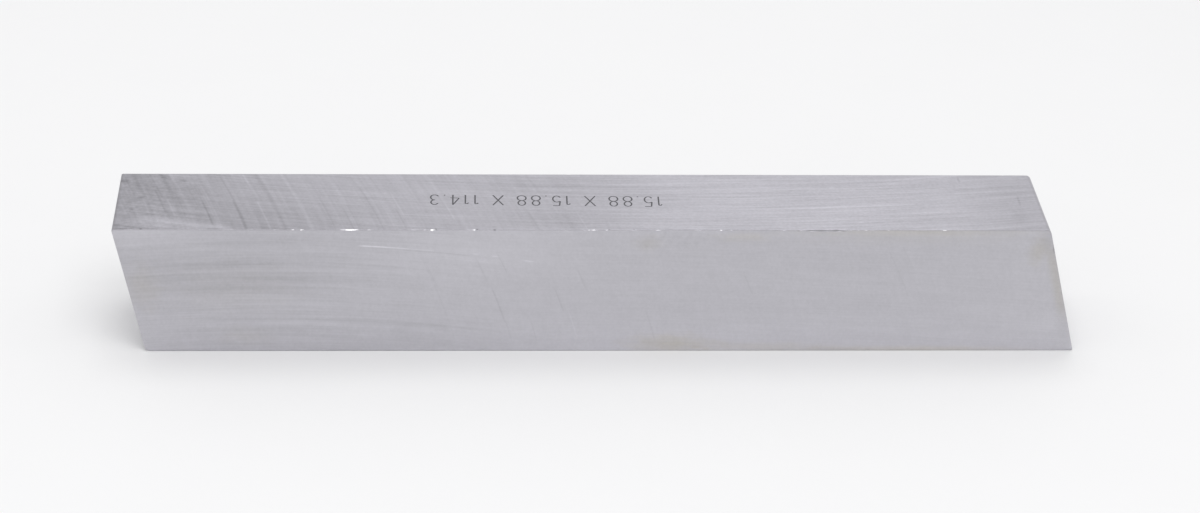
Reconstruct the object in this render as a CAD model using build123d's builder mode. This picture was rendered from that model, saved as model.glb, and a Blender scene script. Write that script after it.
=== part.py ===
"""A square lathe tool bit, ground all over and cut at a slant at both ends.

The bar lies on one long face. +X runs along it, +Y points to its back and +Z up.
The origin is under the middle of the bar, on the face that it lies on. Sizes are millimetres.
"""

from build123d import *

import os
from math import hypot, radians, tan

# Driving dimensions
section = 15.875  # width and height of the square bar, 5/8 inch
overall_length = 114.3  # between the two furthest tips before they are dulled, 4 1/2 inches
left_slant = 12.6  # degrees by which the left end leans out at its top
right_slant = 13.7  # degrees by which the right end leans out at its foot

# How far the corners are dulled, as fillet radii
sharp_tip_break = 0.22  # the left end's top edge and the right end's bottom edge
blunt_tip_break = 0.45  # the left end's bottom edge and the right end's top edge
outline_break = 0.12  # every edge of the front and back faces

# The shallow arched nick in the top front edge, as a round tool would leave it
nick_start = 23.3  # where it begins, from the middle of the bar
nick_end = 29.7  # where it ends
nick_on_top = 0.26  # how far it reaches onto the top face
nick_on_front = 0.18  # how far it reaches down the front face

# The four corners of the side view
left_top = -overall_length / 2
left_foot = left_top + section * tan(radians(left_slant))
right_foot = overall_length / 2
right_top = right_foot - section * tan(radians(right_slant))

# The nick's slope runs from its line on the front face to its line on the top face
nick_slope = hypot(nick_on_top, nick_on_front)
corner_above_slope = nick_on_top * nick_on_front / nick_slope
edge_above_slope = corner_above_slope - outline_break * (2**0.5 - 1)
half_nick = (nick_end - nick_start) / 2
nick_tool_radius = half_nick**2 / (2 * edge_above_slope) + edge_above_slope / 2
nick_tool_thickness = 2 * nick_slope  # so that it reaches past both lines
slope_middle = Vector(
    (nick_start + nick_end) / 2,
    (nick_on_top - section) / 2,
    section - nick_on_front / 2,
)
slope_along = Vector(0, nick_on_top, nick_on_front).normalized()
slope_outward = Vector(0, -nick_on_front, nick_on_top).normalized()


with BuildPart() as tool_bit:
    # The side view leans at both ends. Its corners are dulled first, the two blunt ones more.
    with BuildSketch(Plane.XZ) as side_view:
        with BuildLine():
            Polyline(
                (left_top, section),
                (left_foot, 0),
                (right_foot, 0),
                (right_top, section),
                close=True,
            )
        make_face()
        tips = side_view.vertices().sort_by(Axis.X)
        fillet([tips[0], tips[-1]], sharp_tip_break)
        blunt_corners = [
            side_view.vertices().sort_by_distance(corner)[0]
            for corner in ((left_foot, 0, 0), (right_top, section, 0))
        ]
        fillet(blunt_corners, blunt_tip_break)
    extrude(amount=section / 2, both=True)

    # The whole outline of the front face and of the back face is dulled.
    flanks = tool_bit.faces().filter_by(Axis.Y)
    fillet(flanks.edges(), outline_break)

    # The nick is what a round tool leaves when it leans on the top front edge.
    tool_place = Plane(
        origin=slope_middle + slope_outward * nick_tool_radius,
        x_dir=(1, 0, 0),
        z_dir=slope_along,
    )
    with Locations(tool_place):
        Cylinder(nick_tool_radius, nick_tool_thickness, mode=Mode.SUBTRACT)

tool_bit.part.label = "tool_bit"

os.makedirs("parts", exist_ok=True)
export_step(tool_bit.part, "parts/tool_bit.step")
print("tool radius of the nick", round(nick_tool_radius, 2))
print("top edge length", round(right_top - left_top, 3), "bottom", round(right_foot - left_foot, 3))
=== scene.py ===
from collections import namedtuple
from functools import partial, reduce
from inspect import signature
from itertools import cycle
from math import atan2, cos, hypot, radians, sin, tan

import bpy
from bpy.props import FloatProperty, FloatVectorProperty, IntProperty, PointerProperty, StringProperty
from mathutils import Matrix, Vector


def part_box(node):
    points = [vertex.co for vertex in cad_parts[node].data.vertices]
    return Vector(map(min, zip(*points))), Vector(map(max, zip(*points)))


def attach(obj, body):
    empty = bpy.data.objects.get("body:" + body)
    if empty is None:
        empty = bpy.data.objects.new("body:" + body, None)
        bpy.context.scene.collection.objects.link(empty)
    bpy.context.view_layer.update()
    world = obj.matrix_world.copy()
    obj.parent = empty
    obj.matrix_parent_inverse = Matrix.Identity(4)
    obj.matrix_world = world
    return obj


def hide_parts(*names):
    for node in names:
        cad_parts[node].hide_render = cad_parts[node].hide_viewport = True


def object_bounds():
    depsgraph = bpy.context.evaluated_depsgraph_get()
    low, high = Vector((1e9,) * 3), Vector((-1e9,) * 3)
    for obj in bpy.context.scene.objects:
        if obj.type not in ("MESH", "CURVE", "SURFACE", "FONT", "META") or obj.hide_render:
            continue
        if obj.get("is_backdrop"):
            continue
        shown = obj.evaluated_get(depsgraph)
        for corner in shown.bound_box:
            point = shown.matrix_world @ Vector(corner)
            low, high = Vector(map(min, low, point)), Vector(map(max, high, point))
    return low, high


bl_info = {
    "name": "Ground Lathe Tool Bit",
    "version": (1, 0, 0),
    "blender": (4, 5, 0),
    "location": "View3D > Sidebar > Tool Bit",
    "description": "Makes a square ground lathe tool bit with slanted ends, and a pale studio for it",
    "category": "Add Mesh",
}

MM = 0.001
BAR_NODE = "tool_bit"

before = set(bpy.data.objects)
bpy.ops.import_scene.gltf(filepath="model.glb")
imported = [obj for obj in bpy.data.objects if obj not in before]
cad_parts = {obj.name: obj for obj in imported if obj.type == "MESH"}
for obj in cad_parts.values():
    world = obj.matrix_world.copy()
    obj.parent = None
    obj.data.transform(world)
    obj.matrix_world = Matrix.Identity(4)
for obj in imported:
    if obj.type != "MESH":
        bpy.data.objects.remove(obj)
BOX_LOW, BOX_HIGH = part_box(BAR_NODE)
SECTION = BOX_HIGH.z - BOX_LOW.z


# Settings that a user would change


def amount(name, description, default, **limits):
    return FloatProperty(name=name, description=description, default=default, **limits)


def angle(name, description, degrees):
    return amount(name, description, radians(degrees), subtype="ANGLE")


def count(name, description, default, least=0):
    return IntProperty(name=name, description=description, default=default, min=least)


def colour(name, description, default):
    return FloatVectorProperty(
        name=name, description=description, default=default, subtype="COLOR", min=0, max=1
    )


length = partial(amount, unit="LENGTH")
share = partial(amount, subtype="FACTOR", min=0, max=1)


class BarSizes(bpy.types.PropertyGroup):
    """The bar's outline, how far its edges are dulled and how finely it is divided."""

    section: length("Section", "Width and height of the square bar", SECTION)
    overall_length: length("Overall Length", "Between the furthest tips before they are dulled", 114.3 * MM)
    left_slant: angle("Left Slant", "How far the left end leans out at its top", 12.6)
    right_slant: angle("Right Slant", "How far the right end leans out at its foot", 13.7)
    edge_break: length("Edge Break", "Radius to which the long edges are dulled", 0.03 * MM)
    end_break: length("End Break", "Radius to which the slanted edges are dulled", 0.14 * MM)
    sharp_tip_break: length("Sharp Tip Break", "Radius at the two sharp ends of the side view", 0.29 * MM)
    blunt_tip_break: length("Blunt Tip Break", "Radius at its two blunt ends", 0.45 * MM)
    cells_along: count("Cells Along", "Cells from end to end", 600, least=40)
    crowded_cells: count("Crowded Cells", "Fine cells beside each edge", 8, least=2)
    crowded_reach: length("Crowded Reach", "How far the fine cells reach from each edge", 0.6 * MM)
    wear_depth: length("Wear Depth", "Deepest small wear along the long edges", 0.04 * MM)
    wear_length: length("Wear Length", "Typical length of a small worn spot", 0.9 * MM)
    wear_pattern: count("Wear Pattern", "Seed of the small wear", 4)


class MarkSizes(bpy.types.PropertyGroup):
    """The plain numbers etched into the top face, which give the bar's own size."""

    numbers: StringProperty(
        name="Numbers", description="Digits, points and crosses", default="15.88 X 15.88 X 114.3"
    )
    height: length("Height", "Height of a digit", 2.8 * MM)
    digit_width: length("Digit Width", "Width of a digit", 1.12 * MM)
    stroke_width: length("Stroke Width", "Width of an etched stroke", 0.19 * MM)
    stroke_depth: length("Stroke Depth", "Depth of an etched stroke", 0.04 * MM)
    start_x: length("Start X", "Where the first digit starts along the bar", 7.8 * MM)
    start_y: length("Start Y", "Where the first digit stands across the bar", 1.47 * MM)
    turn: angle("Turn", "Turn of the writing line, which reads from behind", 179.0)


class SteelLook(bpy.types.PropertyGroup):
    """Colours and gloss of the ground steel."""

    ground: colour("Ground", "Colour of the ground faces", (0.574, 0.566, 0.604))
    warm: colour("Warm Stain", "Tint of the faint warm stains", (1.0, 0.975, 0.88))
    # painted shade along the edges, on the nick's slope and in a line under the nick's upper lip
    dull: colour("Dull", "Colour of the nick's line, which worn edges share a little", (0.18, 0.178, 0.19))
    fresh: colour("Fresh", "Colour of small bright chips", (0.95, 0.95, 0.96))
    etched: colour("Etched", "Colour inside the etched strokes", (0.16, 0.16, 0.17))
    roughness: share("Roughness", "Roughness of the ground faces", 0.36)
    relief: length("Relief", "Depth of the grinding lines", 0.004 * MM)


class StudioLook(bpy.types.PropertyGroup):
    """The pale floor, the soft light and the camera."""

    floor: colour("Floor", "Colour of the floor", (0.86, 0.86, 0.86))
    air: colour("Air", "Colour of the light from all round", (0.98, 0.98, 0.99))
    behind: colour("Behind", "Colour that is seen behind the floor", (0.755, 0.755, 0.762))
    air_strength: amount("Air Strength", "Light from all round", 0.78, min=0)
    key_power: amount("Key Power", "Power of the softbox over the front", 1.0, min=0, unit="POWER")
    fill_power: amount("Fill Power", "Power of the softbox behind", 0.6, min=0, unit="POWER")
    distance: length("Camera Distance", "From the camera to its target", 419.4 * MM)
    azimuth: angle("Camera Azimuth", "Turn of the camera round the bar", -3.46)
    elevation: angle("Camera Elevation", "How far the camera looks down", 25.5)
    roll: angle("Camera Roll", "Turn of the camera about its own line of sight", 1.53)
    lens: amount("Camera Lens", "Focal length", 104.61, min=1, unit="CAMERA")


# A short way to write node trees


def titled(name):
    """The label of what a name stands for: tool_radius is Tool Radius."""
    return name.replace("_", " ").title()


def worked_out(operation, swapped=False, clamp=False):
    """A method that adds the math node of one operation and returns its result."""
    settings = {"operation": operation, "use_clamp": clamp}

    def method(wire, *others):
        values = (*others, wire) if swapped else (wire, *others)
        return wire.board.get("ShaderNodeMath", *values, settings=settings)

    return method


class Wire:
    """An output of a node. Sums with wires and plain numbers add the nodes that work them out."""

    def __init__(self, board, socket):
        self.board = board
        self.socket = socket

    __add__ = __radd__ = worked_out("ADD")
    __sub__ = worked_out("SUBTRACT")
    __rsub__ = worked_out("SUBTRACT", swapped=True)
    __mul__ = __rmul__ = worked_out("MULTIPLY")
    __truediv__ = worked_out("DIVIDE")
    __rtruediv__ = worked_out("DIVIDE", swapped=True)
    __pow__ = worked_out("POWER")
    __abs__ = worked_out("ABSOLUTE")
    __gt__ = worked_out("GREATER_THAN")
    __lt__ = worked_out("LESS_THAN")
    at_least = worked_out("MAXIMUM")
    at_most = worked_out("MINIMUM")
    root = worked_out("SQRT")
    share_of = worked_out("DIVIDE", clamp=True)

    def between(self, a, b):
        """a where this number is 0 and b where it is 1."""
        return a + self * (b - a)

    def ease(self, start, end, low=0.0, high=1.0):
        """Turns smoothly from low to high as this number goes from start to end."""
        settings = {"interpolation_type": "SMOOTHSTEP"}
        return self.board.get("ShaderNodeMapRange", self, start, end, low, high, settings=settings)

    def parts(self):
        """The three numbers of this vector."""
        outputs = self.board.add("ShaderNodeSeparateXYZ", self).outputs
        return [Wire(self.board, output) for output in outputs]

    def noise(self, detail):
        """Smooth noise from 0 to 1 at the place that this vector gives."""
        return self.board.get("ShaderNodeTexNoise", vector=self, scale=1.0, detail=detail)


class Board:
    """One node tree, with a short way to add nodes to it."""

    def __init__(self, tree):
        self.tree = tree

    def feed(self, socket, value):
        if isinstance(value, Wire):
            self.tree.links.new(value.socket, socket)
        else:
            socket.default_value = value

    def add(self, kind, *values, settings=None, **named):
        """Adds a node. Values feed its inputs in order, and named ones by their labels."""
        node = self.tree.nodes.new(kind)
        for name, value in (settings or {}).items():
            setattr(node, name, value)
        for socket, value in zip(node.inputs, values):
            self.feed(socket, value)
        for name, value in named.items():
            self.feed(node.inputs[titled(name)], value)
        return node

    def get(self, kind, *values, output=0, **named):
        """Adds a node and returns one of its outputs."""
        return Wire(self, self.add(kind, *values, **named).outputs[output])

    def use(self, work, *values):
        """Places the node group of a function, which is made once, and returns its output."""
        kind = self.tree.bl_idname
        group = bpy.data.node_groups.get(titled(work.__name__)) or node_group(kind, work)
        return self.get(kind.replace("Tree", "Group"), *values, settings={"node_tree": group})

    def vector(self, x, y, z):
        return self.get("ShaderNodeCombineXYZ", x, y, z)

    def blend(self, way, a, b, kind="MIX"):
        """Mixes colours a and b, which are wires or have four numbers."""
        mix = self.add("ShaderNodeMix", way, settings={"data_type": "RGBA", "blend_type": kind})
        ends = [socket for socket in mix.inputs if socket.type == "RGBA"]
        self.feed(ends[0], a)
        self.feed(ends[1], b)
        return Wire(self, [socket for socket in mix.outputs if socket.type == "RGBA"][0])


NUMBER = "NodeSocketFloat"
COUNT = "NodeSocketInt"
MATERIAL = "NodeSocketMaterial"
OBJECT = "NodeSocketObject"
GEOMETRY = "NodeSocketGeometry"


def node_group(tree_kind, work):
    """Makes a node group out of a function, whose arguments become the group's inputs.

    They are numbers unless they are marked as something else, and so is what it returns.
    """
    group = bpy.data.node_groups.new(titled(work.__name__), tree_kind)
    board = Board(group)
    kinds = work.__annotations__
    inputs = list(signature(work).parameters)[1:]
    for name in inputs:
        kind = kinds.get(name, NUMBER)
        group.interface.new_socket(titled(name), in_out="INPUT", socket_type=kind)
    kind = kinds.get("return", NUMBER)
    group.interface.new_socket(group.name, in_out="OUTPUT", socket_type=kind)
    given = board.add("NodeGroupInput").outputs
    wires = [Wire(board, given[titled(name)]) for name in inputs]
    board.add("NodeGroupOutput", work(board, *wires))
    return group


def rows_of(kind, *rows):
    """A table whose rows all hold what kind says."""
    return [kind(*row) for row in rows]


# The bar's shape

Chip = namedtuple("Chip", "centre half_length depth")

# Bright chips along the top front edge, in millimetres from the bar's middle
BRIGHT_CHIPS = rows_of(
    Chip,
    (-37.9, 0.20, 0.018),
    (-36.0, 0.24, 0.040),
    (-35.5, 0.12, 0.034),
    (-35.0, 0.20, 0.066),
    (-30.2, 0.50, 0.030),
    (-29.35, 0.86, 0.066),
    (-28.85, 0.62, 0.050),
    (-27.1, 0.40, 0.026),
    (-20.6, 0.20, 0.024),
    (-19.75, 0.32, 0.095),
    (-14.85, 0.22, 0.070),
    (-1.4, 0.14, 0.034),
    (-0.8, 0.44, 0.040),
    (0.7, 0.14, 0.030),
    (6.75, 0.44, 0.029),
    (14.1, 0.14, 0.080),
    (37.4, 0.30, 0.014),
    (40.6, 0.36, 0.034),
)

# The arched nick in the same edge, where the solid has it
NICK_ON_TOP, NICK_ON_FRONT = 0.26, 0.18
NICK_SLOPE = atan2(NICK_ON_FRONT, NICK_ON_TOP)
NICK = Chip(26.5, 3.2, NICK_ON_TOP * NICK_ON_FRONT / hypot(NICK_ON_TOP, NICK_ON_FRONT))

CHIP_SLOPE = radians(45)
SHINE_FROM = 0.03 * MM  # a chip this deep is as bright as it gets
LONG_EDGE_REACH, LONG_EDGE_DULL = 0.14 * MM, 0.32  # how far painted shade reaches in from the long edges, and how strong it is
# painted shade along the edges of the slanted ends: how far it reaches, and how strong it is
END_EDGE_REACH, END_EDGE_DULL = 0.5 * MM, 0.5
NICK_DULL = 0.6  # painted shade on the nick's slope, apart from the dark line along it
NICK_LINE, NICK_LINE_REACH = 0.08 * MM, 0.06 * MM  # the painted shadow line under the nick's upper lip: its depth and half its height
END_BREAK_REACH = 1.0 * MM  # how far a dulled tip reaches along its edges
STEEP = 0.7  # the least share of an end face's normal that points along the bar
CROWDING = 1.5  # how strongly the cells crowd at an edge, where 1 is evenly
WORN_FROM, WORN_MOST = 0.5, 0.75  # the noise between which small wear sets in
EDGES_APART = 7.3  # how far apart in the noise the four long edges are
GROOVE_SIDES, STROKE_CORNER_POINTS = 12, 4


def crowded_spacing(board, share_along, whole, cells, crowded_cells, reach):
    """Spaces points along an edge so that they crowd together at both ends."""

    def near_end(steps_in):
        return steps_in.share_of(crowded_cells) ** CROWDING * reach

    step = share_along * cells
    plain_cells = cells - crowded_cells * 2
    start = near_end(step)
    middle = (step - crowded_cells).share_of(plain_cells) * (whole - reach * 2)
    end = reach - near_end(cells - step)
    return start + end + middle


def edge_chip(board, along, centre, half_length, depth):
    """How deep one long shallow chip is at a place along the edge."""
    off = (along - centre) / half_length
    return (1.0 - off * off).at_least(0.0) * depth


def etched_strokes(
    board, solid: GEOMETRY, first: OBJECT, second: OBJECT, tool_radius, etched_steel: MATERIAL
) -> GEOMETRY:
    """Cuts a round-bottomed groove into a solid along each stroke.

    Strokes that meet or cross are held in different objects, since a cutter may not overlap itself.
    """
    tool = board.get("GeometryNodeCurvePrimitiveCircle", resolution=GROOVE_SIDES, radius=tool_radius)
    settings = {"operation": "DIFFERENCE", "solver": "MANIFOLD"}
    cut = board.add("GeometryNodeMeshBoolean", mesh_1=solid, settings=settings)
    for strokes in (first, second):
        lines = board.get("GeometryNodeObjectInfo", object=strokes, output="Geometry")
        corner = {"count": STROKE_CORNER_POINTS, "radius": tool_radius, "limit_radius": True}
        eased = board.get("GeometryNodeFilletCurve", curve=lines, settings={"mode": "POLY"}, **corner)
        tubes = board.get("GeometryNodeCurveToMesh", curve=eased, profile_curve=tool, fill_caps=True)
        cutter = board.get("GeometryNodeSetMaterial", geometry=tubes, material=etched_steel)
        board.feed(cut.inputs["Mesh 2"], cutter)
    return Wire(board, cut.outputs[0])


def rounded(distances, breaks):
    """Draws the points beside an edge onto a small quarter round, and returns their distances."""
    inside = [(size - distance).at_least(0.0) / size for distance, size in zip(distances, breaks)]
    beyond = sum(value * value for value in inside).root().at_least(1.0)
    drawn_in = 1.0 - 1.0 / beyond
    moves = [value * drawn_in * size for value, size in zip(inside, breaks)]
    return [distance + move for distance, move in zip(distances, moves)]


def pushed_in(cut, slope, side, flat):
    """Pushes the points beyond a sloped cut back onto it, and says first how far they went."""
    reached = side * sin(slope) + flat * cos(slope)
    push = (cut - reached).at_least(0.0)
    return push, side + push * sin(slope), flat + push * cos(slope)


def dressed(board, bar, etched_steel, steels):
    """Gives the top, the front and the ends their steels, apart from the etched strokes."""
    turned = board.get("GeometryNodeInputNormal").parts()
    steep_x, steep_y, steep_z = (abs(value) for value in turned)
    is_ground = 1.0 - board.get("GeometryNodeMaterialSelection", material=etched_steel)
    is_flat = steep_z > steep_y
    is_top = is_flat * (turned[2] > 0.0)
    is_front = (1.0 - is_flat) * (turned[1] < 0.0)
    is_end = steep_x > STEEP
    for steel, where in zip(steels, (is_top, is_front, is_end)):
        where = where * is_ground
        bar = board.get("GeometryNodeSetMaterial", geometry=bar, selection=where, material=steel)
    return bar


def slanted_bar(
    board, section, overall_length, left_lean, right_lean, edge_break, end_break, sharp_tip_break,
    blunt_tip_break, crowded_reach, wear_depth, wear_length, tool_radius, cells_along: COUNT,
    crowded_cells: COUNT, wear_pattern: COUNT, top_steel: MATERIAL, front_steel: MATERIAL,
    plain_steel: MATERIAL, end_steel: MATERIAL, etched_steel: MATERIAL, first_strokes: OBJECT,
    second_strokes: OBJECT,
) -> GEOMETRY:
    """The whole bar: a finely divided block, leaned at both ends, dulled, chipped and etched."""
    # A block with one wide cell in the middle of its width, and fine ones beside the edges
    cells_across = crowded_cells * 2 + 1
    points = (cells_along + 1, cells_across + 1, cells_across + 1)
    bar = board.get("GeometryNodeMeshCube", (1, 1, 1), *points)
    places = board.get("GeometryNodeInputPosition").parts()
    share_x, share_y, share_z = (value + 0.5 for value in places)

    def spaced(where, whole, cells):
        return board.use(crowded_spacing, where, whole, cells, crowded_cells, crowded_reach)

    across = spaced(share_y, section, cells_across)
    up = spaced(share_z, section, cells_across)
    half = overall_length * 0.5
    up_share = up / section
    left_end = left_lean * (1.0 - up_share) - half
    right_end = half - right_lean * up_share
    length_here = right_end - left_end
    along = spaced(share_x, length_here, cells_along)

    # How far each point lies from the nearest side, flat and end
    at_back, at_top, at_right = (value > 0.5 for value in (share_y, share_z, share_x))
    from_side = across.at_most(section - across)
    from_flat = up.at_most(section - up)
    from_end = along.at_most(length_here - along)

    # The side view is sharp at the left top and the right foot, and blunt at the other two corners
    blunt = 1.0 - abs(at_top - at_right)
    tip_break = blunt.between(sharp_tip_break, blunt_tip_break)
    flat_break = from_end.ease(END_BREAK_REACH, 0.0).between(edge_break, tip_break)
    end_break = from_flat.ease(END_BREAK_REACH, 0.0).between(end_break, tip_break)
    breaks = (edge_break, flat_break, end_break)
    from_side, from_flat, from_end = rounded((from_side, from_flat, from_end), breaks)

    # Small wear along the four long edges, and chips and the nick on the top front edge
    x = left_end + along
    edge_number = at_back + at_top * 2
    wear_place = board.vector(x / wear_length, edge_number * EDGES_APART, wear_pattern)
    wear = wear_place.noise(detail=4).ease(WORN_FROM, WORN_MOST) * wear_depth
    on_edge = at_top * (1.0 - at_back)

    def cut_of(shape):
        return board.use(edge_chip, x, *(size * MM for size in shape)) * on_edge

    chips = reduce(Wire.at_least, map(cut_of, BRIGHT_CHIPS))
    _, from_side, from_flat = pushed_in(wear, CHIP_SLOPE, from_side, from_flat)
    chip_push, from_side, from_flat = pushed_in(chips, CHIP_SLOPE, from_side, from_flat)
    nick_push, from_side, from_flat = pushed_in(cut_of(NICK), NICK_SLOPE, from_side, from_flat)

    # Where the steel is freshly bright at its chips, and where shade is painted along the edges and in the
    # nick
    fresh = chip_push.share_of(SHINE_FROM)
    nick_line = abs(from_flat - NICK_LINE).ease(NICK_LINE_REACH, 0.0, NICK_DULL, 1.0)
    nicked = nick_push.share_of(SHINE_FROM) * nick_line
    worn = (from_side + from_flat).ease(LONG_EDGE_REACH, 0.0, 0.0, LONG_EDGE_DULL)
    worn_end = (from_end + from_flat).ease(END_EDGE_REACH, 0.0, 0.0, END_EDGE_DULL)
    dull = nicked.at_least(worn.at_least(worn_end))
    for name, value in (("fresh", fresh), ("dull", dull)):
        bar = board.get("GeometryNodeStoreNamedAttribute", geometry=bar, name=name, value=value)

    # Back to places in the bar's own frame
    y = at_back.between(from_side, section - from_side) - section * 0.5
    z = at_top.between(from_flat, section - from_flat)
    x = at_right.between(left_end + from_end, right_end - from_end)
    bar = board.get("GeometryNodeSetPosition", geometry=bar, position=board.vector(x, y, z))
    bar = board.get("GeometryNodeSetMaterial", geometry=bar, material=plain_steel)
    bar = board.use(etched_strokes, bar, first_strokes, second_strokes, tool_radius, etched_steel)
    bar = board.get("GeometryNodeRealizeInstances", bar)
    return dressed(board, bar, etched_steel, (top_steel, front_steel, end_steel))


# The etched numbers


def arc(centre, radii, start, end, steps=9):
    """Points of an elliptical arc, with angles in degrees."""
    turns = [radians(start + (end - start) * step / steps) for step in range(steps + 1)]
    return [(centre[0] + radii[0] * cos(turn), centre[1] + radii[1] * sin(turn)) for turn in turns]


def ring(centre, radii, steps):
    """A closed ellipse, whose last point is its first."""
    points = arc(centre, radii, 90, 450, steps)
    return points[:-1] + points[:1]


# Strokes in a box one digit wide and one high. They go to the two curves in turn.
STROKES = {
    "1": [[(0.08, 0.78), (0.42, 1.0), (0.42, 0.0)]],
    "3": [arc((0.48, 0.76), (0.38, 0.24), 155, -95), arc((0.47, 0.26), (0.43, 0.26), 95, -155)],
    "4": [[(0.72, 0.0), (0.72, 1.0)], [(0.72, 1.0), (0.04, 0.30), (0.98, 0.30)]],
    "5": [
        [(0.90, 1.0), (0.20, 1.0), (0.12, 0.55)],
        [(0.12, 0.55), *arc((0.47, 0.32), (0.43, 0.32), 125, -150)],
    ],
    "8": [ring((0.5, 0.76), (0.39, 0.24), 16), ring((0.5, 0.26), (0.46, 0.26), 18)],
    "X": [[(0.0, 1.0), (1.1, 0.0)], [(0.0, 0.0), (1.1, 1.0)]],
    ".": [[(0.02, 0.02), (0.16, 0.02)], [(0.09, 0.0), (0.09, 0.06)]],
    " ": [],
}
# How far the writing goes on after each, in digit widths
ADVANCES = {"1": 1.03, "X": 1.65, ".": 0.67, " ": 0.94}
USUAL_ADVANCE = 1.52


def groove_radius(mark):
    """Radius of the round tool whose groove has the stroke's width and depth."""
    return (mark.stroke_width**2 / 4 + mark.stroke_depth**2) / (2 * mark.stroke_depth)


def written_strokes(mark, surface):
    """Two curves with the numbers' strokes, as high as the middle of the tool that cuts them."""
    curves = [bpy.data.curves.new(name, "CURVE") for name in ("first_strokes", "second_strokes")]
    turn = Matrix.Rotation(mark.turn, 4, "Z")
    start = Vector((mark.start_x, mark.start_y, surface + groove_radius(mark) - mark.stroke_depth))
    reached = 0.0
    for letter in mark.numbers:
        for curve, stroke in zip(cycle(curves), STROKES[letter]):
            line = curve.splines.new("POLY")
            line.use_cyclic_u = stroke[0] == stroke[-1]
            points = stroke[:-1] if line.use_cyclic_u else stroke
            line.points.add(len(points) - 1)
            for point, (across, up) in zip(line.points, points):
                local = Vector(((reached + across) * mark.digit_width, up * mark.height, 0.0))
                point.co = (*(start + turn @ local), 1.0)
        reached += ADVANCES.get(letter, USUAL_ADVANCE)
    for curve in curves:
        curve.dimensions = "3D"
    return [add_object(curve.name, curve) for curve in curves]


# Marks that grinding left on the steel, in millimetres of the bar's own frame


def wheel_place(board, along, across, radius, centre, through):
    """Where a wheel's arc through a point crosses the line at through."""
    square = radius * radius

    def bulge(across):
        off = across - centre
        return (square - off * off).root()

    return along - bulge(across) + bulge(through)


def wheel_lines(board, place, across, spacing, run, pattern):
    """Lines that a grinding wheel leaves as it steps along a face."""
    return board.vector(place / spacing, across / run, pattern).noise(detail=3) - 0.5


def scratch_tone(board, place, run, position, half_width, begin, end, tone, fade):
    """The tone of one line whose place, width and ends are known."""
    narrow = abs(place - position).ease(half_width, 0.0)
    after = run.ease(begin - fade, begin + fade)
    before = run.ease(end + fade, end - fade)
    return narrow * (after * before) * tone


def patch_tone(board, x, y, centre_x, centre_y, half_width, half_height, ragged, tone, lean):
    """The tone of one soft patch whose place and size are known."""
    off_x = x - centre_x
    off_y = y - centre_y - off_x * lean
    far_x, far_y = off_x / half_width, off_y / half_height
    far = (far_x * far_x + far_y * far_y).root()
    spots = board.vector(x * SPOTS_ALONG, y * SPOTS_ACROSS, 0.0).noise(detail=3) - 0.5
    return (far + spots * ragged).ease(1.0, 0.0) * tone


SPOTS_ALONG, SPOTS_ACROSS = 0.5, 1.3  # how fine the ragged outline of a patch is each way
OTHER_END = 9.0  # how far apart the patterns of the two ends are
WHITE = (1.0, 1.0, 1.0, 1.0)
LINE_ROUGHNESS = 0.10  # how much the grinding lines change the roughness
ETCHED_ROUGHNESS = 0.62

# One set of a wheel's lines: how wide and how long they are, their pattern and their strength
Lines = namedtuple("Lines", "spacing run pattern strength")

# A wheel: its radius, where its middle lies across its arcs, where an arc's place is read, and its
# lines, coarse ones first
Wheel = namedtuple("Wheel", "radius centre through sets")

TOP_CROSS_WHEEL = Wheel(160, -41, -7.94, (Lines(0.9, 26, 1, 0.20), Lines(0.36, 18, 2, 0.18)))
TOP_LONG_WHEEL = Wheel(270, 8, 8, (Lines(0.9, 30, 3, 0.20), Lines(0.4, 11, 4, 0.43)))
FRONT_CURVED_WHEEL = Wheel(230, -40, -45, (Lines(0.8, 26, 6, 0.16), Lines(0.25, 10, 7, 0.20)))
FRONT_STRAIGHT_WHEEL = Wheel(900, -10, 0, (Lines(0.8, 20, 9, 0.065), Lines(0.22, 7, 9, 0.10)))
FRONT_SLANT_WHEEL = Wheel(60, -14, 15.9, (Lines(0.7, 8, 8, 0.04),))
PLAIN_LONG_WHEEL = Wheel(230, 12, 0, (Lines(0.9, 28, 11, 0.14), Lines(0.24, 9, 12, 0.24)))
PLAIN_CROSS_WHEEL = Wheel(160, -38, 0, (Lines(0.8, 18, 13, 0.18), Lines(0.3, 12, 14, 0.18)))
END_WHEEL = Wheel(75, -22, 0, (Lines(0.7, 14, 21, 0.24), Lines(0.22, 6, 22, 0.26)))

# How the strength of marks changes along a face, from low at start to high at end
Fade = namedtuple("Fade", "start end low high")
TOP_ARC_FADES = (Fade(-12, 4, 1.0, 0.25), Fade(-54, -42, 1.6, 1.0))
TOP_GRAIN_FADES = (Fade(-20, 20, 0.8, 1.2), Fade(38, 50, 1.0, 0.75))
TOP_MOTTLE_FADE = Fade(-54, -40, 0.22, 0.04)
TOP_SPOT_FADE = Fade(-54, -40, 0.26, 0.0)
PLAIN_ARC_FADE = Fade(0, 34, 0.1, 1.0)
CURVED_UP_TO, STRAIGHT_FROM = -32, 4  # where the front's lines change from curved to straight

# A known line: its place, half its width, where it begins and ends, and how much lighter it is
Scratch = namedtuple("Scratch", "place half_width begin end tone")
SCRATCH_FADE, FACET_FADE, STAIN_FADE, LONG_FADE = 0.5, 1.0, 2.0, 4.0  # how far lines' ends fade

# A soft patch: its middle, half its width and height, how ragged it is, how much lighter it is,
# and how much it leans
Patch = namedtuple("Patch", "x y half_width half_height ragged tone lean", defaults=(0.0,))

# A slow change of tone from low at start to high at end, along a line that leans by so much
Shade = namedtuple("Shade", "start end low high lean", defaults=(0.0,))

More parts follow.
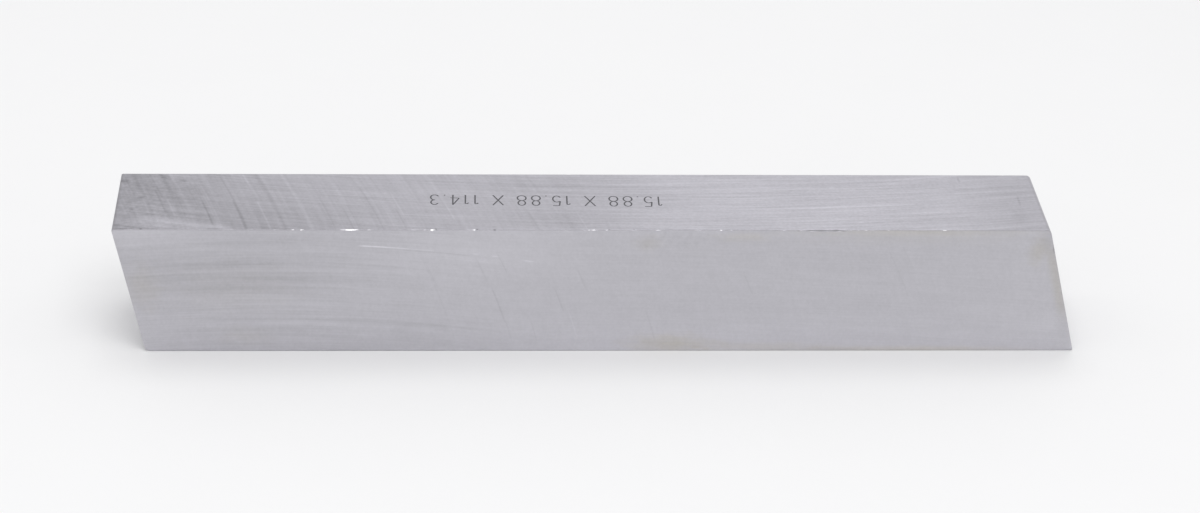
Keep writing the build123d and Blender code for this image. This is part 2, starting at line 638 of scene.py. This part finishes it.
# Arcs across the top face. Each place is where the arc meets the front edge.
TOP_ARCS = rows_of(
    Scratch,
    (-50, 0.25, -3, 3.2, -0.07),
    (-49.6, 0.22, 1, 7.9, -0.09),
    (-49.1, 0.2, -4, 0.5, 0.07),
    (-47.8, 0.22, -3.8, 2.6, -0.07),
    (-45.1, 0.24, -6.6, 0, -0.17),
    (-45.1, 0.18, 0.2, 4.5, -0.06),
    (-44.2, 0.3, -7.5, -2, 0.05),
    (-41.4, 0.32, -7.9, 0, -0.14),
    (-41.3, 0.22, 0, 7, -0.09),
    (-38.6, 0.22, -7.9, 0, 0.12),
    (-38.4, 0.22, 4.4, 7.7, 0.09),
    (-36.8, 0.44, -7.9, 7.9, -0.09),
    (-33.7, 0.35, -7.9, 7.9, 0.08),
    (-31, 0.18, -7.9, 1, -0.06),
    (-28.9, 0.2, -7.9, -2, -0.07),
    (-28.2, 0.2, -7.9, -1, -0.07),
    (-25.4, 0.22, -7.9, 4, -0.08),
    (-22.7, 0.22, -7.9, -2, -0.09),
    (-22.2, 0.2, -4, 1.5, 0.08),
    (-16.5, 0.15, -5, -1, 0.06),
    (-7.2, 0.25, -7.9, -3, -0.07),
    (-3.2, 0.4, -7.9, -3.5, -0.06),
    (-1.5, 0.15, -7.9, -3, 0.07),
)

# Streaks along the top face. Each place is how far in front of the middle line its middle lies.
TOP_STREAKS = rows_of(
    Scratch,
    (-4.3, 0.32, -34, 38, -0.075),
    (-5.35, 0.3, 4, 34, 0.06),
    (-3.3, 0.4, 14, 30, 0.05),
    (2.2, 0.35, -2, 44, 0.065),
    (0.75, 0.4, 22, 38, -0.05),
    (4.95, 0.35, 12, 44, 0.035),
    (5.6, 0.5, -10, 14, -0.04),
    (6.9, 0.3, 14, 44, -0.03),
)

# The narrow facet at the left front corner of the top face is painted light: it is painted lighter, as the
# facet, which the mesh doesn't have, would catch more light. Its place is where its middle line lies at
# FACET_FROM, and it leans by FACET_LEAN.
TOP_FACET = rows_of(
    Scratch,
    (-5.7, 1.25, -53.8, -43.5, 0.15),
    (-6.9, 1.6, -55.6, -42.5, 0.15),
)
FACET_FROM, FACET_LEAN = -50.0, 0.225

TOP_PATCHES = rows_of(
    Patch,
    (-52, 3.5, 9, 7, 0.8, -0.07),
    (-51.8, 6.9, 0.9, 1.1, 0.5, -0.16, -0.6),
    (-49.5, 5.9, 0.7, 0.6, 0.4, -0.16, -0.4),
    (-54.6, -1.6, 0.4, 0.5, 0.4, -0.12),
    (-54.3, 1.1, 0.6, 0.7, 0.5, -0.12),
    (-55.2, -2.3, 0.5, 0.9, 0.5, -0.13),
    (-56.5, 5.8, 0.9, 0.6, 0.5, -0.12),
    (-56.4, -6.6, 1.1, 0.9, 0.9, -0.16),
    (-41, 7, 9, 3.5, 0.6, 0.04),
    (-44, 2, 5, 4, 0.6, 0.03),
    (-5, -5, 10, 6, 0.6, -0.06),
    (-8, 4, 8, 4, 0.6, -0.03),
    (10, 6, 10, 3, 0.4, 0.03),
    (31, -1.5, 9, 3, 0.8, 0.04, 0.05),
    (34, 6.8, 10, 2.2, 0.5, -0.03),
    (42, 4.5, 7, 3.6, 0.6, -0.04),
    (45, 3.7, 2.4, 0.7, 0.6, -0.09),
    (49, 4.6, 6, 3.4, 0.7, -0.04),
    (50.75, 0.5, 0.22, 2.4, 0.3, -0.14),
    (47, -5, 6, 1.6, 0.8, -0.04),
    (50.2, -4, 1.4, 3, 0.6, -0.07),
    (50, 6.8, 4, 2.4, 0.5, 0.03),
    (48, -7.2, 4, 1, 0.5, 0.04),
    (44.3, 6.6, 0.22, 1.3, 0.3, -0.18),
    (28.5, 4.2, 0.45, 0.35, 0.2, 0.16),
    (38.9, -2.9, 0.45, 0.35, 0.2, 0.13),
    (31, -5.7, 0.45, 0.35, 0.2, 0.13),
    (-55, 4.2, 0.7, 1.2, 0.6, -0.08),
    (-55.6, -4.6, 0.8, 0.6, 0.6, -0.08),
    (-48, 1.2, 0.9, 1.6, 0.7, -0.05),
    (-56, -7.75, 1.1, 0.35, 0.6, -0.3),
    (-53.7, -7.75, 0.3, 0.3, 0.2, -0.3),
    (-45.2, -7.7, 1.5, 0.3, 0.6, -0.2),
    (-19.35, -7.85, 0.22, 0.34, 0.1, -0.55),
    (-14.5, -7.85, 0.2, 0.34, 0.1, -0.5),
    (-12.45, -7.9, 0.26, 0.26, 0.1, -0.6),
    (1, -7.85, 0.2, 0.3, 0.1, -0.3),
    (3.9, -7.85, 0.22, 0.34, 0.1, -0.32),
    # painted shadow along the nick's upper lip
    (26, -7.84, 0.75, 0.16, 0.1, -0.4),
    (27.75, -7.84, 0.65, 0.2, 0.1, -0.75),
    (29.2, -7.86, 0.6, 0.18, 0.1, -0.3),
)
# Partly the finish's tone, partly painted light: darker at the left, lighter past the middle, darker at the
# right end
TOP_SHADES = rows_of(
    Shade,
    (-58, -17, -0.21, 0, 1.1),
    (-4, 15, -0.03, 0.1),
    (41, 52, 0, -0.13),
)
TOP_TINT = (1.006, 1.0, 1.012)  # the top face mirrors a little more of the cool air

# Faint arcs that slant across the front face. Each place is where the arc meets the top edge.
FRONT_ARCS = rows_of(
    Scratch,
    (-23, 0.16, 1.5, 12.4, -0.03),
    (-22.8, 0.16, 8.5, 12.4, -0.04),
    (-16.6, 0.18, 9.2, 12.2, -0.05),
    (-16.4, 0.2, 4, 8.3, -0.08),
    (-16.3, 0.18, 1.5, 4, -0.04),
    (-13.8, 0.16, 10.2, 12.7, -0.06),
    (-13.3, 0.16, 1.3, 3.8, -0.05),
    (-9, 0.18, 5.3, 8.1, -0.07),
    (-8.4, 0.16, 2, 5, 0.05),
    (-5.3, 0.2, 8.1, 10.6, -0.06),
    (0.8, 0.18, 1.2, 5.2, -0.05),
    (14.2, 0.16, 7.4, 10.2, -0.055),
    (32.7, 0.16, 7.2, 13.6, -0.035),
    (34.6, 0.16, 10.6, 13.4, -0.03),
)

# Long soft streaks, and short crisp ones, along the front face. Each place is the streak's height
# where FRONT_CURVED_WHEEL reads it, near the left end.
FRONT_STREAKS = rows_of(
    Scratch,
    (14.1, 0.25, -56, -36, -0.035),
    (11.4, 0.5, -54, -36, -0.05),
    (10.5, 0.3, -53, -34, 0.035),
    (9.6, 0.45, -52, -29, -0.04),
    (8.3, 0.35, -52, -34, -0.035),
    (7.2, 0.4, -54, -36, 0.03),
    (4.25, 0.4, -48, -16, -0.06),
    (3.6, 0.3, -46, -26, 0.03),
    (2.8, 0.4, -52, -30, -0.045),
)
FRONT_CRISP_STREAKS = rows_of(
    Scratch,
    (14.25, 0.12, -46, -37, -0.045),
    (14.05, 0.14, -28.2, -25, 0.27),
    (14.04, 0.13, -25, -22.6, 0.17),
    (14.02, 0.13, -22, -19.6, 0.08),
    (13.8, 0.14, -23, -15.5, -0.07),
    (14.1, 0.14, -14.9, -14.5, 0.14),
    (14.05, 0.14, -12.6, -12.1, 0.18),
    (13.95, 0.16, -9, -7.8, 0.14),
)

FRONT_PATCHES = rows_of(
    Patch,
    (-54, 15.2, 12, 3.6, 0.4, 0.09),
    (-53, 9, 4.5, 4, 0.7, -0.02),
    (-42, 9.6, 18, 3.4, 0.6, -0.06),
    (-14, 13, 18.5, 5, 0.5, 0.07),
    (-28, 0.5, 34, 4.2, 0.9, -0.085),
    (-22, 3.4, 14, 1.6, 0.6, -0.04),
    (9, 0.8, 8, 1.8, 0.9, -0.05),
    (5.6, 14.2, 1.8, 1.2, 0.9, -0.05),
    (46, 5.6, 8, 1.6, 0.8, 0.025),
    (26, 0, 14, 0.7, 0.4, -0.07),
    (45, 0, 14, 0.6, 0.4, -0.03),
    (55.6, 2, 2.6, 3, 0.4, -0.05),
    (52.2, 13.6, 2, 2.4, 0.9, -0.055),
    (53.85, 13.5, 0.3, 0.8, 0.3, -0.26),
    # painted shadow along the nick's upper lip
    (28.7, 15.76, 0.4, 0.08, 0.1, -0.2, -0.1),
    (23.3, 15.78, 0.3, 0.1, 0.1, -0.24),
    (24.2, 15.8, 0.45, 0.09, 0.1, -0.12),
    (-12.45, 15.8, 0.26, 0.14, 0.1, -0.35),
)

# Where the front face is a little rough to look at. The tone is how strong the roughness is.
FRONT_ROUGH = [Patch(8.5, 14.6, 9.5, 2.6, 0.9, 0.22)]

# Painted light: the front face is painted lightest at its foot, where it mirrors the bar's own shade on the
# floor that would darken it.
# It is painted darker towards its head, where light falls on it more flatly, apart from a thin lighter band
# at the top.
FRONT_SHADES_UP = rows_of(
    Shade,
    (0, 6.5, 0.05, -0.085),
    (7, 13, 0, -0.025),
    (14.2, 15.6, 0, 0.02),
)
FRONT_SHADES_ALONG = [Shade(-52, -18, -0.045, 0)]
FRONT_END_SHADE = [Shade(55.4, 56.9, 0, -0.05)]

# Faint warm stains on the front face. Their tone is how much of the stain's tint shows.
FRONT_STAINS = rows_of(
    Patch,
    (8.6, 1, 7.3, 1.9, 0.9, 0.88),
    (19, 0.5, 14, 1.1, 0.9, 0.45),
    (5.6, 14.2, 2.6, 1.6, 0.9, 0.36),
    (-42, 2, 5, 2, 0.9, 0.22),
    (38, 0.1, 20, 0.8, 0.5, 0.8),
    (52, 13.2, 1.7, 3, 0.9, 0.65, 0.1),
    (-53.6, 8.5, 2.8, 4.5, 0.9, 0.42, -0.3),
    (17, 15, 5, 1, 0.9, 0.45),
    (38, 15.7, 20, 0.8, 0.5, 0.5),
    (36, 15.2, 20, 1.8, 0.7, 0.24),
    (-43, 8.5, 13, 5, 0.9, 0.14),
)

# The warm stain along the slanted right end. Its place is how far from the middle its foot would lie.
END_STAIN = [Scratch(56.7, 1.1, 5, 13.5, 0.7)]
RIGHT_LEAN = 0.244  # the right end's slant, as a share of its height

# Marks on the back and the bottom, which the photograph doesn't show. The back's places across
# the sheet are 8 to 24, and the bottom's -8 to 8. An arc's place is where it crosses 0 of the sheet,
# and a streak's where it crosses the bar's middle.
PLAIN_ARCS = rows_of(
    Scratch,
    (46.6, 0.24, 8.5, 20, -0.1),
    (42.9, 0.2, 12, 23.5, -0.09),
    (38.4, 0.35, 8, 23.8, 0.07),
    (31.5, 0.22, 10, 17, -0.08),
    (24, 0.2, 14, 23, 0.06),
    (8.3, 0.18, 9, 14, -0.07),
    (-17.5, 0.18, 11.5, 16.5, -0.08),
    (-29, 0.18, 16, 21, -0.07),
    (44, 0.3, -7.8, 7.8, -0.09),
    (33.2, 0.24, -6, 5, 0.07),
    (21.6, 0.2, -2, 7.5, -0.08),
    (-8.4, 0.18, -5, 0.5, -0.07),
    (-34.8, 0.18, 1, 6.5, -0.07),
)
PLAIN_STREAKS = rows_of(
    Scratch,
    (21, 0.4, -50, 10, -0.06),
    (18.4, 0.35, -30, 34, 0.05),
    (14.9, 0.45, -52, -12, -0.06),
    (11.2, 0.35, -10, 44, -0.05),
    (4.6, 0.4, -48, 20, -0.06),
    (0.4, 0.35, -20, 46, 0.05),
    (-4.8, 0.45, -50, 4, -0.05),
)
PLAIN_CRISP_STREAKS = rows_of(
    Scratch,
    (19.3, 0.13, -22, -16.5, 0.22),
    (12.6, 0.13, 27, 30.5, 0.18),
    (16.1, 0.14, -44, -38, -0.14),
    (1.8, 0.14, 12, 19, 0.2),
    (-2.6, 0.14, -31, -24, -0.15),
    (5.9, 0.16, -12, -2, 0.16),
)
PLAIN_PATCHES = rows_of(
    Patch,
    (-46, 12.5, 12, 3, 0.6, -0.06),
    (20, 20.5, 16, 3.4, 0.6, 0.05),
    (-12, 9.2, 20, 1.8, 0.9, -0.06),
    (48, 15, 7, 5, 0.7, -0.06),
    (0, 1, 24, 4, 0.7, 0.05),
    (-38, -2, 10, 5, 0.7, -0.07),
    (30, -3, 12, 3, 0.8, -0.05),
)

# Marks on the two ends. Each arc's place is its height where it crosses the bar's middle, and on the
# right end each lies END_SHIFT lower.
END_ARCS = rows_of(
    Scratch,
    (2.6, 0.2, -7.9, 3, -0.1),
    (5.4, 0.14, -2, 7.9, 0.12),
    (8.8, 0.3, -7.9, 7.9, -0.08),
    (11.7, 0.16, -6, 1, 0.13),
    (13.1, 0.22, -7.9, 7.9, -0.09),
    (16.9, 0.2, -3, 7.9, 0.09),
)
END_SHIFT = 1.7
END_PATCHES = rows_of(
    Patch,
    (-2, 14.6, 8, 2.6, 0.8, -0.07),
    (4, 3, 5, 4, 0.8, 0.05),
    (-6, 0.8, 2.6, 1.8, 0.9, -0.08),
    (6.6, 9, 1.6, 3, 0.9, -0.05),
)


class Finish(Board):
    """The node tree of one material, which knows each point's place in millimetres."""

    def __init__(self, name):
        self.material = bpy.data.materials.new(name)
        self.material.use_nodes = True
        super().__init__(self.material.node_tree)
        self.tree.nodes.clear()
        where = self.get("ShaderNodeTexCoord", output="Object")
        self.x, self.y, self.z = (value / MM for value in where.parts())

    def speckle(self, size, pattern, strength=1.0):
        """Spots of about the given size, as values from about -0.5 to 0.5 times their strength."""
        place = self.vector(self.x / size + pattern, self.y / size, self.z / size)
        return (place.noise(detail=2) - 0.5) * strength

    def shaded(self, colour, tone, tint=(1.0, 1.0, 1.0)):
        """A colour made lighter or darker, where a tone of 1 leaves it as it is."""
        grey = self.get("ShaderNodeCombineColor", *(tone * part for part in tint))
        return self.blend(1.0, (*colour, 1.0), grey, "MULTIPLY")

    def surface(self, **looks):
        """The material with one surface."""
        shader = self.get("ShaderNodeBsdfPrincipled", **looks)
        self.add("ShaderNodeOutputMaterial", surface=shader)
        return self.material


class Grinding(Finish):
    """The marks of grinding on one steel."""

    def wheel(self, along, across, wheel, other_pattern=0.0):
        """The tone of a wheel's lines, each set of lines by itself, and the place of its arcs."""
        place = self.use(wheel_place, along, across, wheel.radius, wheel.centre, wheel.through)
        lines = []
        for one in wheel.sets:
            pattern = one.pattern + other_pattern
            lines.append(self.use(wheel_lines, place, across, one.spacing, one.run, pattern))
        tone = sum(values * one.strength for values, one in zip(lines, wheel.sets))
        return tone, lines, place

    def scratches(self, place, run, scratches, fade=SCRATCH_FADE):
        """The tones of known scratches added up."""
        return sum(self.use(scratch_tone, place, run, *one, fade) for one in scratches)

    def patches(self, x, y, patches):
        """The tones of known patches added up."""
        return sum(self.use(patch_tone, x, y, *one) for one in patches)

    def steel(self, look, tone, height, stain=0.0, tint=(1.0, 1.0, 1.0)):
        """Joins tone, stain, surface height, bright chips and painted edge shade into one steel surface."""
        ground = self.shaded(look.ground, tone + 1.0, tint)
        warmth = self.blend(stain, WHITE, (*look.warm, 1.0))
        ground = self.blend(1.0, ground, warmth, "MULTIPLY")
        # painted shade along the edges and in the nick, then the bright colour of fresh chips
        for name, colour in (("dull", look.dull), ("fresh", look.fresh)):
            worn = self.get("ShaderNodeAttribute", output="Fac", settings={"attribute_name": name})
            ground = self.blend(worn, ground, (*colour, 1.0))
        bump = self.get("ShaderNodeBump", height=height, distance=look.relief, strength=1.0)
        roughness = height * LINE_ROUGHNESS + look.roughness
        return self.surface(base_color=ground, metallic=1.0, roughness=roughness, normal=bump)


def eased(along, fades):
    """How strong marks are along a face, with all their fades multiplied."""
    return reduce(Wire.__mul__, (along.ease(*fade) for fade in fades))


def shades(along, across, slow):
    """Slow changes of tone added up."""
    return sum((along + across * one.lean).ease(*one[:-1]) for one in slow)


def top_steel(look):
    """Coarse wheel arcs on the left two thirds and fine lines along the rest."""
    marks = Grinding("top_steel")
    x, y = marks.x, marks.y
    arcs, arc_lines, arc_place = marks.wheel(x, y, TOP_CROSS_WHEEL)
    streaks, streak_lines, streak_place = marks.wheel(y * -1, x, TOP_LONG_WHEEL)
    grain = streaks + marks.speckle(size=0.35, pattern=9, strength=0.24)
    facet_place = y + (x - FACET_FROM) * FACET_LEAN
    tone = arcs * eased(x, TOP_ARC_FADES)
    tone += marks.speckle(size=1.4, pattern=5) * x.ease(*TOP_MOTTLE_FADE)
    tone += marks.speckle(size=0.5, pattern=6) * x.ease(*TOP_SPOT_FADE)
    tone += grain * eased(x, TOP_GRAIN_FADES)
    tone += marks.scratches(arc_place, y, TOP_ARCS)
    tone += marks.scratches(streak_place, x, TOP_STREAKS, LONG_FADE)
    # the facet's painted light
    tone += marks.scratches(facet_place, x, TOP_FACET, FACET_FADE)
    tone += marks.patches(x, y, TOP_PATCHES)
    # partly painted light
    tone += shades(x, y, TOP_SHADES)
    return marks.steel(look, tone, arc_lines[-1] + streak_lines[-1], tint=TOP_TINT)


def front_steel(look):
    """Long fine lines from a wheel that ran along the bar, and a few older slanting arcs."""
    marks = Grinding("front_steel")
    x, z = marks.x, marks.z
    curved, curved_lines, streak_place = marks.wheel(z, x, FRONT_CURVED_WHEEL)
    straight, _, _ = marks.wheel(z, x, FRONT_STRAIGHT_WHEEL)
    slant, _, slant_place = marks.wheel(x, z, FRONT_SLANT_WHEEL)
    end_place = x + z * RIGHT_LEAN
    tone = x.ease(CURVED_UP_TO, STRAIGHT_FROM).between(curved, straight) + slant
    tone += marks.speckle(size=0.3, pattern=3, strength=0.12)
    tone += marks.speckle(size=2.4, pattern=4, strength=0.05)
    tone += marks.speckle(size=0.8, pattern=6) * marks.patches(x, z, FRONT_ROUGH)
    tone += marks.scratches(slant_place, z, FRONT_ARCS)
    tone += marks.scratches(streak_place, x, FRONT_STREAKS, LONG_FADE)
    tone += marks.scratches(streak_place, x, FRONT_CRISP_STREAKS)
    tone += marks.patches(x, z, FRONT_PATCHES)
    # painted light: lighter at the foot, darker towards the head
    tone += shades(z, x, FRONT_SHADES_UP)
    tone += shades(x, z, FRONT_SHADES_ALONG)
    tone += shades(end_place, z, FRONT_END_SHADE)
    stain = marks.patches(x, z, FRONT_STAINS) + marks.scratches(end_place, z, END_STAIN, STAIN_FADE)
    return marks.steel(look, tone, curved_lines[-1], stain)


def plain_steel(look):
    """Lines along the back and the bottom, which are laid out side by side as one sheet."""
    marks = Grinding("plain_steel")
    x, across = marks.x, marks.y + marks.z
    streaks, streak_lines, streak_place = marks.wheel(across, x, PLAIN_LONG_WHEEL)
    arcs, arc_lines, arc_place = marks.wheel(x, across, PLAIN_CROSS_WHEEL)
    tone = arcs * x.ease(*PLAIN_ARC_FADE) + streaks
    tone += marks.speckle(size=0.35, pattern=2, strength=0.24)
    tone += marks.speckle(size=2.6, pattern=12, strength=0.08)
    tone += marks.scratches(arc_place, across, PLAIN_ARCS)
    tone += marks.scratches(streak_place, x, PLAIN_STREAKS, LONG_FADE)
    tone += marks.scratches(streak_place, x, PLAIN_CRISP_STREAKS)
    tone += marks.patches(x, across, PLAIN_PATCHES)
    return marks.steel(look, tone, streak_lines[-1] + arc_lines[-1])


def end_steel(look):
    """Arcs that a thin cutting wheel left as it went through the bar, other ones at each end."""
    marks = Grinding("end_steel")
    y, z = marks.y, marks.z
    at_right = marks.x > 0.0
    tone, lines, place = marks.wheel(z, y, END_WHEEL, at_right * OTHER_END)
    tone += marks.speckle(size=0.3, pattern=7, strength=0.22)
    tone += marks.scratches(place + at_right * END_SHIFT, y, END_ARCS)
    tone += marks.patches(y, z, END_PATCHES)
    return marks.steel(look, tone, sum(lines))


def etched_steel(look):
    """The matt dark floor of the etched strokes."""
    floor = Finish("etched_steel")
    dark = floor.shaded(look.etched, floor.speckle(size=0.12, pattern=1, strength=0.5) + 1.0)
    return floor.surface(base_color=dark, metallic=1.0, roughness=ETCHED_ROUGHNESS)


def all_steels(look):
    """The five steels by their names."""
    steels = (top_steel, front_steel, plain_steel, end_steel, etched_steel)
    return {steel.__name__: steel(look) for steel in steels}


# The map that a picture of the steel can be laid out on

# Each face's strip on the map: the directions across and up it, and the stretch it fills each way
Strip = namedtuple("Strip", "directions across up")
MAP_STRIPS = {
    "top": Strip("xy", (0.01, 0.99), (0.76, 0.99)),
    "front": Strip("xz", (0.01, 0.99), (0.52, 0.75)),
    "back": Strip("xz", (0.01, 0.99), (0.34, 0.51)),
    "bottom": Strip("xy", (0.01, 0.99), (0.20, 0.33)),
    "left": Strip("yz", (0.01, 0.18), (0.01, 0.19)),
    "right": Strip("yz", (0.19, 0.36), (0.01, 0.19)),
    "etched": Strip("xy", (0.38, 0.99), (0.01, 0.19)),
}


def face_side(face, steel_name):
    """Which strip of the map a face belongs on."""
    x, y, z = face.normal
    if steel_name == "etched_steel":
        return "etched"
    if abs(x) > STEEP:
        return "left" if x < 0 else "right"
    if abs(z) > abs(y):
        return "top" if z > 0 else "bottom"
    return "front" if y < 0 else "back"


def lay_map(mesh):
    """Lays every face on the map without overlaps, each side seen straight on."""
    layer = mesh.uv_layers.new(name="OFBake")
    corners = {side: {} for side in MAP_STRIPS}
    for face in mesh.polygons:
        side = face_side(face, mesh.materials[face.material_index].name)
        for corner in face.loop_indices:
            point = mesh.vertices[mesh.loops[corner].vertex_index].co
            corners[side][corner] = getattr(point, MAP_STRIPS[side].directions)
    for side, points in corners.items():
        strip = MAP_STRIPS[side]
        for way, (start, end) in enumerate((strip.across, strip.up)):
            places = [point[way] for point in points.values()]
            least, most = min(places), max(places)
            for corner, place in zip(points, places):
                reached = (place - least) / (most - least)
                layer.data[corner].uv[way] = start + (end - start) * reached


# Making the bar


def add_object(name, data):
    made = bpy.data.objects.new(name, data)
    bpy.context.collection.objects.link(made)
    return made


def add_tree(thing, tree, values):
    """Puts a geometry tree on an object, with its inputs set by their identifiers."""
    labelled = {titled(name): value for name, value in values.items()}
    modifier = thing.modifiers.new(tree.name, "NODES")
    modifier.node_group = tree
    for item in tree.interface.items_tree:
        if item.in_out == "INPUT":
            modifier[item.identifier] = labelled[item.name]


def plain_mesh(thing, name):
    """The object's evaluated shape as a plain mesh in a new object."""
    evaluated = thing.evaluated_get(bpy.context.evaluated_depsgraph_get())
    mesh = bpy.data.meshes.new_from_object(evaluated)
    mesh.name = name
    return add_object(name, mesh)


class TOOLBIT_OT_make_bar(bpy.types.Operator):
    """Makes the ground bar with its wear and its etched numbers"""

    bl_idname = "toolbit.make_bar"
    bl_label = "Make Bar"

    def execute(self, context):
        sizes, mark = context.scene.bar_sizes, context.scene.mark_sizes
        strokes = written_strokes(mark, sizes.section)
        values = {
            **{name: getattr(sizes, name) for name in BarSizes.__annotations__},
            "left_lean": sizes.section * tan(sizes.left_slant),
            "right_lean": sizes.section * tan(sizes.right_slant),
            "tool_radius": groove_radius(mark),
            "first_strokes": strokes[0],
            "second_strokes": strokes[1],
            **all_steels(context.scene.steel_look),
        }
        blank = add_object("blank", bpy.data.meshes.new("blank"))
        add_tree(blank, node_group("GeometryNodeTree", slanted_bar), values)
        bar = plain_mesh(blank, "ground_bar")
        for helper in (blank, *strokes):
            bpy.data.objects.remove(helper)
        if not bar.data.polygons:
            raise RuntimeError("the bar's tree made no faces")
        bar.data.shade_flat()
        if bar.data.materials[0] is None:
            bar.data.materials.pop(index=0)
        lay_map(bar.data)
        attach(bar, "root")
        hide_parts(BAR_NODE)
        return {"FINISHED"}


# The studio

FLOOR_SIZE = 6.0
FLOOR_DROP = 0.02 * MM  # keeps the floor just under the face that the bar lies on
FLOOR_ROUGHNESS = 0.7
PALER_BETWEEN = (250.0, 1400.0)  # painted light: the floor is painted paler between these distances from its middle, where the softboxes light it less
FAR_FLOOR = 1.15  # by so many times

Softbox = namedtuple("Softbox", "name place width height")
KEY_LIGHT = Softbox("key_softbox", (0.03, -0.27, 0.54), 0.42, 0.34)
FILL_LIGHT = Softbox("fill_softbox", (-0.06, 0.20, 0.62), 0.3, 0.26)

CAMERA_TARGET = Vector((0.457, 0.0, 8.642)) * MM
NEAREST_SEEN = 0.01


def add_floor(look):
    """A wide pale sheet, painted a little paler far away, where the softboxes light it less."""
    paper = Finish("pale_floor")
    far = (paper.x * paper.x + paper.y * paper.y).root()
    tone = paper.speckle(size=14, pattern=0, strength=0.012) + far.ease(*PALER_BETWEEN, 1.0, FAR_FLOOR)
    half = FLOOR_SIZE / 2
    corners = [(-half, -half), (half, -half), (half, half), (-half, half)]
    sheet = bpy.data.meshes.new("pale_floor")
    sheet.from_pydata([(x, y, -FLOOR_DROP) for x, y in corners], [], [(0, 1, 2, 3)])
    sheet.materials.append(
        paper.surface(base_color=paper.shaded(look.floor, tone), roughness=FLOOR_ROUGHNESS)
    )
    return add_object("pale_floor", sheet)


def soft_air(look):
    """Light from all round, in front of another colour that only the camera sees."""
    world = bpy.data.worlds.new("soft_air")
    world.use_nodes = True
    board = Board(world.node_tree)
    board.tree.nodes.clear()
    air = board.get("ShaderNodeBackground", (*look.air, 1.0), look.air_strength)
    behind = board.get("ShaderNodeBackground", (*look.behind, 1.0))
    seen = board.get("ShaderNodeLightPath", output="Is Camera Ray")
    board.add("ShaderNodeOutputWorld", board.get("ShaderNodeMixShader", seen, air, behind))
    return world


def add_softbox(softbox, power, target):
    light = bpy.data.lights.new(softbox.name, "AREA")
    light.shape = "RECTANGLE"
    light.size, light.size_y = softbox.width, softbox.height
    light.energy = power
    lamp = add_object(softbox.name, light)
    lamp.location = softbox.place
    lamp.rotation_euler = (target - lamp.location).to_track_quat("-Z", "Y").to_euler()


def add_camera(look):
    """The camera at the photograph's angle."""
    lens = bpy.data.cameras.new("photo_camera")
    lens.lens = look.lens
    lens.sensor_fit = "HORIZONTAL"
    lens.clip_start = NEAREST_SEEN
    turn, rise = look.azimuth, look.elevation
    back = Vector((sin(turn) * cos(rise), -cos(turn) * cos(rise), sin(rise)))
    level = Vector((cos(turn), sin(turn), 0.0))
    axes = Matrix((level, back.cross(level), back)).transposed().to_4x4()
    place = Matrix.Translation(CAMERA_TARGET + back * look.distance)
    camera = add_object("photo_camera", lens)
    camera.matrix_world = place @ axes @ Matrix.Rotation(look.roll, 4, "Z")
    return camera


class TOOLBIT_OT_make_studio(bpy.types.Operator):
    """Makes the pale floor, the soft light and the camera"""

    bl_idname = "toolbit.make_studio"
    bl_label = "Make Studio"

    def execute(self, context):
        scene, look = context.scene, context.scene.studio_look
        middle = Vector((0.0, 0.0, scene.bar_sizes.section / 2))
        floor = add_floor(look)
        floor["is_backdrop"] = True
        scene.world = soft_air(look)
        add_softbox(KEY_LIGHT, look.key_power, middle)
        add_softbox(FILL_LIGHT, look.fill_power, middle)
        scene.view_settings.view_transform = "Standard"
        scene.camera = add_camera(look)
        return {"FINISHED"}


class TOOLBIT_PT_sidebar(bpy.types.Panel):
    """Makes the tool bit and its studio"""

    bl_idname = "TOOLBIT_PT_sidebar"
    bl_label = "Ground Tool Bit"
    bl_space_type = "VIEW_3D"
    bl_region_type = "UI"
    bl_category = "Tool Bit"

    def draw(self, context):
        for operator in OPERATORS:
            self.layout.operator(operator.bl_idname)
        for setting, group in SETTINGS.items():
            box = self.layout.box()
            for name in group.__annotations__:
                box.prop(getattr(context.scene, setting), name)


SETTINGS = {
    "bar_sizes": BarSizes,
    "mark_sizes": MarkSizes,
    "steel_look": SteelLook,
    "studio_look": StudioLook,
}
OPERATORS = (TOOLBIT_OT_make_bar, TOOLBIT_OT_make_studio)
CLASSES = (*SETTINGS.values(), *OPERATORS, TOOLBIT_PT_sidebar)


def register():
    for one in CLASSES:
        bpy.utils.register_class(one)
    for setting, group in SETTINGS.items():
        setattr(bpy.types.Scene, setting, PointerProperty(type=group))


def unregister():
    for setting in SETTINGS:
        delattr(bpy.types.Scene, setting)
    for one in reversed(CLASSES):
        bpy.utils.unregister_class(one)


def plain(bounds):
    return [[round(value, 7) for value in corner] for corner in bounds]


def main():
    solid_box = plain(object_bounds())
    register()
    bpy.ops.toolbit.make_bar()
    bpy.ops.toolbit.make_studio()


if __name__ == "__main__":
    main()
